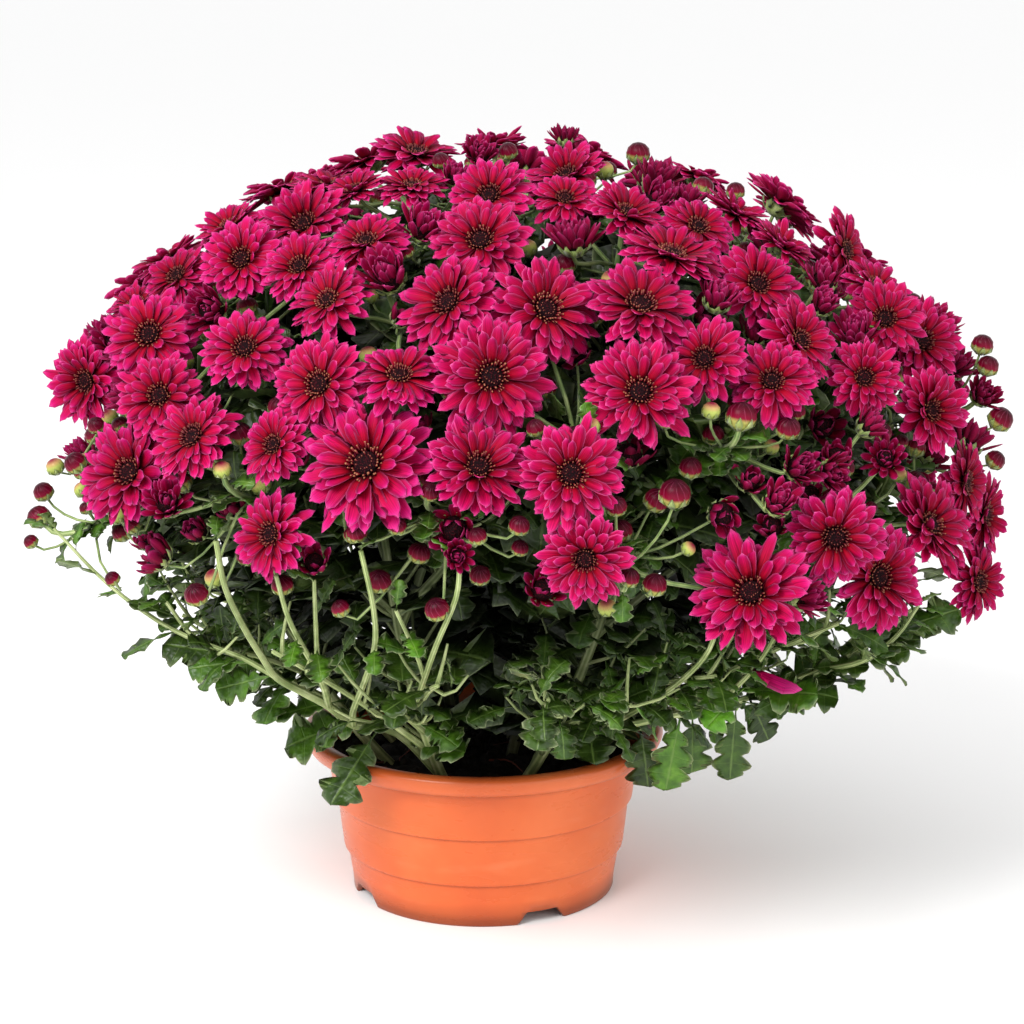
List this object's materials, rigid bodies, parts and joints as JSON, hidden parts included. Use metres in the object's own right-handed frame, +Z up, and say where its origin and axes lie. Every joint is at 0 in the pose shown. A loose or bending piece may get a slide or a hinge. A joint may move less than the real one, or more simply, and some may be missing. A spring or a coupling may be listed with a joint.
{
  "type": "pot chrysanthemum",
  "caption": "Domed pot chrysanthemum with double crimson-pink flower heads, buds and lobed leaves, growing in soil in a stepped plastic pot with a rolled lip.",
  "frame": {"origin": "middle of the whole plant's footprint, on the floor that the pot stands on; the pot's axis is 20 mm to the left of it and 5 mm in front of it", "axes": "+Z up, -Y to the front as the plant is usually shown, +X to the right"},
  "size_m": [0.5217, 0.4936, 0.4215],
  "materials": {
    "pot": "satin",
    "soil": "matte",
    "petals": "matte",
    "foliage": "satin"
  },
  "bodies": {
    "root": {"pot": "pot", "soil": "soil", "spray_01": "petals", "spray_02": "petals", "spray_03": "petals", "spray_04": "petals", "spray_05": "petals", "spray_06": "petals", "spray_07": "petals", "spray_08": "petals", "spray_09": "petals", "spray_10": "petals", "spray_11": "petals", "spray_12": "petals", "spray_13": "petals", "spray_14": "petals", "spray_15": "petals", "spray_16": "petals", "spray_17": "petals", "spray_18": "petals", "spray_19": "petals", "spray_20": "petals", "spray_21": "petals", "spray_22": "petals", "spray_23": "petals", "spray_24": "petals", "spray_25": "petals", "spray_26": "petals", "spray_27": "petals", "spray_28": "petals", "spray_29": "petals", "spray_30": "petals", "spray_31": "petals", "spray_32": "petals", "spray_33": "petals", "spray_34": "petals", "spray_35": "petals", "spray_36": "petals", "spray_37": "petals", "spray_38": "petals", "spray_39": "petals", "spray_40": "petals", "spray_41": "petals", "spray_42": "petals", "spray_43": "petals", "spray_44": "petals", "spray_45": "petals", "spray_46": "petals", "leafy_stem_01": "foliage", "leafy_stem_02": "foliage", "leafy_stem_03": "foliage", "leafy_stem_04": "foliage", "leafy_stem_05": "foliage", "leafy_stem_06": "foliage", "leafy_stem_07": "foliage", "leafy_stem_08": "foliage", "leafy_stem_09": "foliage", "leafy_stem_10": "foliage", "leafy_stem_11": "foliage", "leafy_stem_12": "foliage"}
  },
  "joints": []
}
